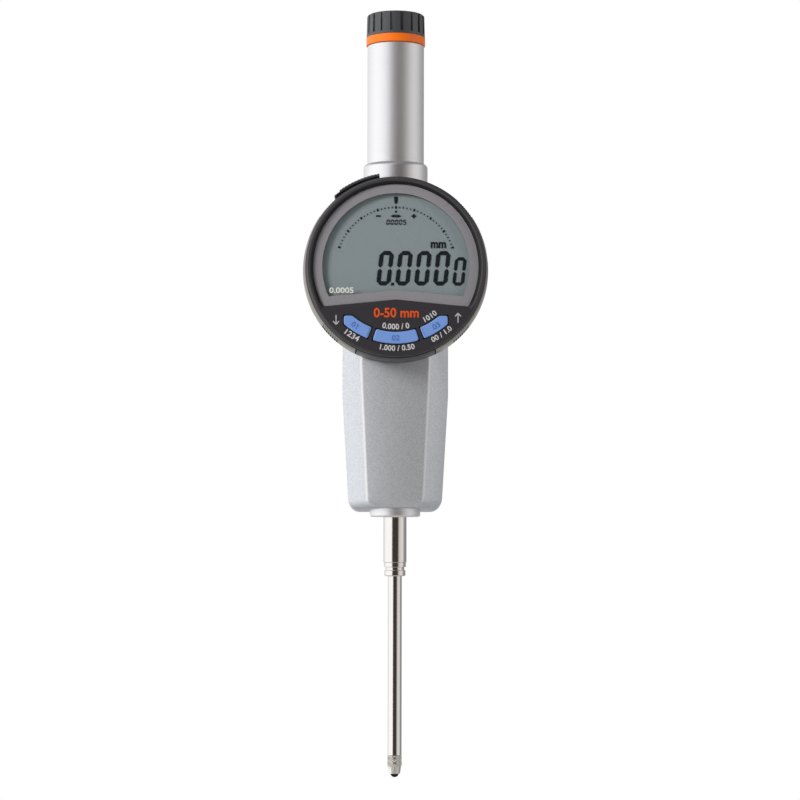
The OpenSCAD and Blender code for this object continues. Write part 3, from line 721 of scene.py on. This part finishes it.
def range_mark():
    """Orange figures of the measuring range, where such instruments carry their name."""
    marks = Plates(BEZEL_FRONT - PRINT, PRINT)
    marks.add_text("0-50 mm", 4.4, straight(0.2, -17.1, stretch=0.95), bold=0.1)
    return marks.make("range_mark", MARK_ORANGE, "display")


def resolution_mark():
    """Small white figures at the lower left of the LCD."""
    marks = Plates(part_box("window")[0].y + 0.02 * MM, PRINT)
    marks.add_text("0.0005", 2.6, straight(-18.1, -8.95, stretch=1.17), bold=PRINT_BOLD)
    return marks.make("resolution_mark", MATERIALS["frame_white"], "display")


# The keys: radii in mm, half the middle key's angle, and where a side key starts and is cut square
KEY_IN, KEY_OUT, KEY_HALF = 22.0, 26.0, math.radians(17.3)
SIDE_KEY_FROM, SIDE_KEY_U, SIDE_KEY_V = math.radians(21.3), 17.3, -16.6
KEY_CORNER, KEY_EDGE, KEY_FLAT, KEY_DIP = 0.9, 0.36, 0.08, 0.04    # mm
KEY_FIGURE_ROW, KEY_FIGURE_HEIGHT = 24.95, 2.6
KEY_INK_PROUD, KEY_INK_DEPTH = 0.03, 0.04
KEYS = (                       # body, side, figures and the angle of their middle
    ("button_left", -1, "01", 236.0), ("button_centre", 0, "02", 270.0),
    ("button_right", 1, "03", 304.0))


def ring_arc(radius, start, stop, steps=20):
    """Points along a circle round the head's axis; angles run from the bottom to the right."""
    angles = [start + (stop - start) * i / steps for i in range(steps + 1)]
    return [(radius * math.sin(a), -radius * math.cos(a)) for a in angles]


def key_outline(side):
    """Anticlockwise outline of a key: a ring sector, cut square at a side key's outer corner."""
    if side == 0:
        return ring_arc(KEY_OUT, -KEY_HALF, KEY_HALF) + ring_arc(KEY_IN, KEY_HALF, -KEY_HALF)
    outer = math.asin(SIDE_KEY_U / KEY_OUT)
    inner = math.acos(-SIDE_KEY_V / KEY_IN)
    outline = ring_arc(KEY_OUT, SIDE_KEY_FROM, outer) + [(SIDE_KEY_U, SIDE_KEY_V)]
    outline += ring_arc(KEY_IN, inner, SIDE_KEY_FROM)
    return outline if side > 0 else [(-u, v) for u, v in reversed(outline)]


def round_corners(points, radius, sharp_from=20, steps=5):
    """A closed outline with a small curve at each corner that turns by sharp_from degrees or more."""
    result = []
    for i, (u, v) in enumerate(points):
        before, after = Vector(points[i - 1]), Vector(points[(i + 1) % len(points)])
        corner = Vector((u, v))
        to_before, to_after = before - corner, after - corner
        shorter = min(to_after.length, to_before.length)
        turn = math.degrees(to_after.angle(-to_before)) if shorter else 0
        if turn < sharp_from:
            result.append(corner)
            continue
        start = corner + to_before.normalized() * min(radius, to_before.length * 0.9)
        stop = corner + to_after.normalized() * min(radius, to_after.length * 0.9)
        for step in range(steps + 1):
            t = step / steps
            result.append(start * (1 - t) ** 2 + corner * 2 * t * (1 - t) + stop * t ** 2)
    return result


def inset(points, distance):
    """A closed anticlockwise outline moved inwards."""
    moved = []
    for i, point in enumerate(points):
        along = (points[(i + 1) % len(points)] - points[i - 1]).normalized()
        moved.append(point + Vector((-along.y, along.x)) * distance)
    return moved


def keycap(body, side, figure, angle):
    """Moulded key with rounded edges, and its figure printed on a slightly sunk face."""
    outline = round_corners(key_outline(side), KEY_CORNER)
    steps = 5
    rings = [(0.0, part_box(body)[1].y)]
    for step in range(steps + 1):
        turn = math.pi / 2 * step / steps
        drop = KEY_DIP + KEY_EDGE * (1 - math.sin(turn))
        rings.append((KEY_EDGE * (1 - math.cos(turn)), KEY_FRONT + drop * MM))
    rings.append((KEY_EDGE + KEY_FLAT, KEY_FRONT + KEY_DIP * MM))
    vertices = [on_head(p.x, p.y, y) for distance, y in rings for p in inset(outline, distance)]
    cap = add_piece(body + "_cap", vertices, shell(len(rings), len(outline)),
                    MATERIALS["button_blue"], body)
    smooth_below(cap, 40)
    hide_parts(body)
    marks = Plates(KEY_FRONT + (KEY_DIP - KEY_INK_PROUD) * MM, KEY_INK_DEPTH * MM)
    marks.add_text(figure, KEY_FIGURE_HEIGHT, along_arc(KEY_FIGURE_ROW, angle, 1.1), bold=0.02)
    marks.make(body + "_figure", KEY_INK, body)


# ---------------------------------------------------------------- turned and wound pieces

def spindle_rod():
    """Ground spindle, built in short lengths between its two ends."""
    low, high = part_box("spindle")
    length, sides = 2.5 * MM, 96
    rows = math.ceil((high.z - low.z) / length)
    outline = circle((high.x - low.x) / 2, sides)
    vertices = [(x, y, low.z + (high.z - low.z) * row / rows) for row in range(rows + 1)
                for x, y in outline]
    piece = add_piece("spindle_ground", vertices, shell(rows + 1, sides),
                      MATERIALS["polished_steel"], "spindle")
    smooth_below(piece, 20)
    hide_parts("spindle")


KNURL_LENGTH, KNURL_EDGE, KNURL_RELIEF = 3.8 * MM, 0.12 * MM, 0.3 * MM
KNURL_CELLS, KNURL_PITCH = 16, 0.85 * MM    # diamonds round the point, and their height


def contact_point():
    """Knurled contact point with its cone and ball seat."""
    low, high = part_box("contact_point")
    ball_low, ball_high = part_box("contact_ball")
    radius, ball_radius = (high.x - low.x) / 2, (ball_high.x - ball_low.x) / 2
    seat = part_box("spindle")[0].z - 0.1 * MM
    sides, rows = 160, 44
    knurled = KNURL_LENGTH - 2 * KNURL_EDGE
    profile = [(1.25 * MM, seat + 0.1 * MM), (radius - 0.25 * MM, seat)]
    profile += [(None, seat - KNURL_EDGE - knurled * i / rows) for i in range(rows + 1)]
    profile += [(radius - 0.3 * MM, seat - KNURL_LENGTH),
                (ball_radius + 0.4 * MM, low.z + 0.05 * MM),
                (ball_radius + 0.3 * MM, low.z), (ball_radius - 0.06 * MM, low.z)]
    vertices = []
    for r, z in profile:
        for i in range(sides):
            around, along = KNURL_CELLS * i / sides, (z - seat) / KNURL_PITCH
            ridge = max(abs((around + along) % 1 - 0.5), abs((around - along) % 1 - 0.5)) * 2
            here = radius - KNURL_RELIEF * ridge if r is None else r
            angle = 2 * math.pi * i / sides
            vertices.append((here * math.cos(angle), here * math.sin(angle), z))
    piece = add_piece("contact_point_knurled", vertices, shell(len(profile), sides, flip=True),
                      MATERIALS["hardened_steel"], "spindle")
    smooth_below(piece, 20)
    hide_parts("contact_point")


def return_spring():
    """Compression spring with closed end turns."""
    low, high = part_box("return_spring")
    wire = 0.32 * MM
    radius = (high.x - low.x) / 2 - wire
    turns, steps, sides, closed = 20, 28, 8, 1.5
    bottom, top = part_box("spring_collar")[1].z + wire, high.z - wire
    total, dead = turns * steps, closed * steps
    vertices = []
    for i in range(total + 1):
        share = min(max((i - dead) / (total - 2 * dead), 0), 1)
        settle = min(i, dead) / dead + max(i - total + dead, 0) / dead
        z = bottom + (top - bottom - 4 * wire * closed) * share + 2 * wire * closed * settle
        angle = 2 * math.pi * i / steps
        for out, up in circle(wire, sides):
            reach = radius + out
            vertices.append((reach * math.cos(angle), reach * math.sin(angle), z + up))
    piece = add_piece("return_spring_coil", vertices, shell(total + 1, sides),
                      MATERIALS["inner_steel"], "housing")
    smooth_below(piece, 60)
    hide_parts("return_spring")
    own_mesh(piece)


SCREW_RADIUS, SCREW_DEPTH, SCREW_BEVEL = 1.85 * MM, 0.9 * MM, 0.12 * MM
RECESS_ARM, RECESS_SLOT = SCREW_RADIUS * 0.62, SCREW_RADIUS * 0.17
RECESS_DEPTH, RECESS_TAPER = 0.5 * MM, 0.7
BACK_SCREWS = 17.7                             # of the back cover, mm from the head's axis
LOWER_SCREWS = ((14.6, 55), (13.6, 16))        # of the lower cover, mm to each side and up


def screw_head(vertices, faces, x, z, outer_y):
    """Flat screw head seen from the back, with a cross recess."""
    sides, first = 32, len(vertices)
    cross = []
    for quarter in range(4):
        turn = math.radians(45 + 90 * quarter)
        for along, across in ((RECESS_ARM, -RECESS_SLOT), (RECESS_ARM, RECESS_SLOT),
                              (RECESS_SLOT, RECESS_SLOT)):
            cross.append((along * math.cos(turn) - across * math.sin(turn),
                          along * math.sin(turn) + across * math.cos(turn)))
    count = len(cross)
    rim = circle(SCREW_RADIUS, sides)
    shrink = (SCREW_RADIUS - SCREW_BEVEL) / SCREW_RADIUS
    for scale, y in ((shrink, outer_y), (1, outer_y - SCREW_BEVEL), (1, outer_y - SCREW_DEPTH)):
        vertices += [(x + u * scale, y, z + w * scale) for u, w in rim]
    for level in range(2):
        faces += bridge(first + level * sides, first + (level + 1) * sides, sides)
    faces.append([first + 2 * sides + i for i in range(sides)])
    recess = len(vertices)
    for scale, y in ((1, outer_y), (RECESS_TAPER, outer_y - RECESS_DEPTH)):
        vertices += [(x + u * scale, y, z + w * scale) for u, w in cross]
    faces += bridge(recess, recess + count, count, flip=True)
    faces.append([recess + count + i for i in range(count)])
    # flat face between the recess and the rim, one face to each side of the cross
    spokes = [i * sides // count + sides // 8 - 1 for i in range(count + 1)]
    for i in range(count):
        fan = [first + k % sides for k in range(spokes[i], spokes[i + 1] + 1)]
        faces.append([recess + (i + 1) % count, recess + i] + fan)


def cover_screws():
    """The eight screws of the two rear covers."""
    outer_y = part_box("cover_screws")[1].y
    corner = BACK_SCREWS * MM
    centres = [(x * corner, HEAD_Z + z * corner) for x in (-1, 1) for z in (-1, 1)]
    centres += [(side * x * MM, z * MM) for side in (-1, 1) for x, z in LOWER_SCREWS]
    vertices, faces = [], []
    for x, z in centres:
        screw_head(vertices, faces, x, z, outer_y)
    piece = add_piece("cover_screw_heads", vertices, faces, MATERIALS["screw_steel"],
                      "housing")
    smooth_below(piece, 25)
    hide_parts("cover_screws")


# ---------------------------------------------------------------- studio and camera

WORLD_LIGHT, DIFFUSE_SHARE = 1.2, 0.68
BAND_LEAN = 0.8                # radians that the bands lean by between the horizon and overhead
GAP_TONE = (0.045, 0.037, 0.033)
BANDS = (                      # degrees to the right of the camera's side, and the light there
    (-180, (0.60, 0.60, 0.60)), (-134, (0.73, 0.73, 0.73)), (-99, (1.0, 1.0, 1.0)),
    (-72, (1.0, 1.0, 1.0)), (-34, (1.0, 1.0, 1.0)), (-23, GAP_TONE), (29, GAP_TONE),
    (42, (0.54, 0.50, 0.49)), (56, (0.64, 0.625, 0.615)), (80, (0.72, 0.71, 0.70)),
    (106, (0.29, 0.285, 0.28)), (134, (0.21, 0.21, 0.21)), (180, (0.60, 0.60, 0.60)))
DOME_TONE = (0.16, 0.16, 0.165, 1)
DOME_FROM, DOME_FULL = 0.45, 0.75    # sines of the elevation between which the dome fades in
WHITE = (1, 1, 1, 1)
LAMP_TINT = (1.0, 0.965, 0.88)
FLOOR_GREY = (0.35, 0.35, 0.35, 1)
FLOOR_GLOW, FLOOR_BOUNCE = 0.72, 0.22    # its own light as the camera and as other rays see it
FLOOR_HALF, FLOOR_DROP = 1.0, 0.4        # half its width and its depth below the object, in m


def studio_world():
    """Upright softbox bands round the object: bright left, dark gap by the camera, grey right."""
    world = bpy.data.worlds.new("studio")
    bpy.context.scene.world = world
    world.use_nodes = True
    graph = Graph(world.node_tree)
    direction = graph.add("TexCoord", {}).outputs["Generated"]
    x, y, z = graph.add("SeparateXYZ", {"Vector": direction}).outputs
    around = graph.math("ARCTAN2", x, graph.math("MULTIPLY", y, -1))
    leaning = graph.math("MULTIPLY_ADD", z, -BAND_LEAN, around)
    bands = graph.add("ValToRGB", {"Fac": graph.remap(leaning, 0, 1, -math.pi, math.pi)})
    bands.color_ramp.interpolation = "EASE"
    elements = bands.color_ramp.elements
    while len(elements) < len(BANDS):
        elements.new(0.5)
    for element, (angle, color) in zip(elements, BANDS):
        element.position = (angle + 180) / 360
        element.color = (*color, 1)
    overhead = graph.remap(z, 0, 1, DOME_FROM, DOME_FULL)
    dome = graph.mix(overhead, bands.outputs["Color"], DOME_TONE)
    path = graph.add("LightPath", {}).outputs
    level = graph.remap(path["Is Diffuse Ray"], WORLD_LIGHT, WORLD_LIGHT * DIFFUSE_SHARE, 0, 1)
    light = graph.add("VectorMath", {0: dome, "Scale": level}, operation="SCALE").outputs["Vector"]
    seen = graph.mix(path["Is Camera Ray"], light, WHITE)
    graph.links.new(seen, graph.nodes["Background"].inputs["Color"])


def softbox(name, azimuth, elevation, distance, size, power):
    """An area light aimed at the head and left out of reflections; azimuth runs to the right."""
    light = bpy.data.lights.new(name, "AREA")
    light.shape = "DISK"
    light.size = size
    light.energy = power
    light.color = LAMP_TINT
    turn, rise = math.radians(azimuth), math.radians(elevation)
    away = Vector((math.sin(turn) * math.cos(rise), -math.cos(turn) * math.cos(rise),
                   math.sin(rise)))
    holder = bpy.data.objects.new(name, light)
    holder.location = Vector((HEAD_X, 0, HEAD_Z)) + away * distance
    holder.rotation_euler = away.to_track_quat("Z", "Y").to_euler()
    holder.visible_glossy = False
    bpy.context.scene.collection.objects.link(holder)


def studio_floor():
    """Wide grey floor far below the hanging object; its own light whitens it for the camera."""
    half, z = FLOOR_HALF, CAD_BOX[0][2] - FLOOR_DROP
    mesh = bpy.data.meshes.new("floor")
    corners = [(-half, -half, z), (half, -half, z), (half, half, z), (-half, half, z)]
    mesh.from_pydata(corners, [], [(0, 1, 2, 3)])
    floor = bpy.data.objects.new("floor", mesh)
    bpy.context.scene.collection.objects.link(floor)
    shader = Shader("floor_white", FLOOR_GREY, 0.8, Emission_Color=WHITE, Specular_IOR_Level=0.1)
    shader.tint(shader.noise(0.2, 2), 0.01)
    seen = shader.add("LightPath", {}).outputs["Is Camera Ray"]
    shader.feed("Emission Strength", shader.remap(seen, FLOOR_BOUNCE, FLOOR_GLOW, 0, 1))
    mesh.materials.append(shader.material)


# Degrees that the camera is tilted up, rolled round its axis and turned to the left
CAMERA_TILT, CAMERA_ROLL, CAMERA_TURN = 2.786, -0.09, -0.5
CAMERA_PLACE = (-5.2 * MM, -793 * MM, 9.34 * MM)


def camera():
    """Long lens in front of the lower half, tilted up a little."""
    data = bpy.data.cameras.new("camera")
    data.lens = 103.9
    data.sensor_width = 36
    data.clip_start = 0.01
    holder = bpy.data.objects.new("camera", data)
    holder.location = CAMERA_PLACE
    holder.rotation_euler = [math.radians(angle)
                             for angle in (90 + CAMERA_TILT, CAMERA_ROLL, CAMERA_TURN)]
    bpy.context.scene.collection.objects.link(holder)
    bpy.context.scene.camera = holder


lcd_picture()
lcd_well()
panel_marks()
range_mark()
resolution_mark()
for key in KEYS:
    keycap(*key)
spindle_rod()
contact_point()
return_spring()
cover_screws()
studio_world()
softbox("key_light", azimuth=-57, elevation=20, distance=1.2, size=0.4, power=14.5)
softbox("right_fill", azimuth=70, elevation=5, distance=1.2, size=0.5, power=5.0)
studio_floor()
camera()
bpy.context.scene.view_settings.view_transform = "Standard"
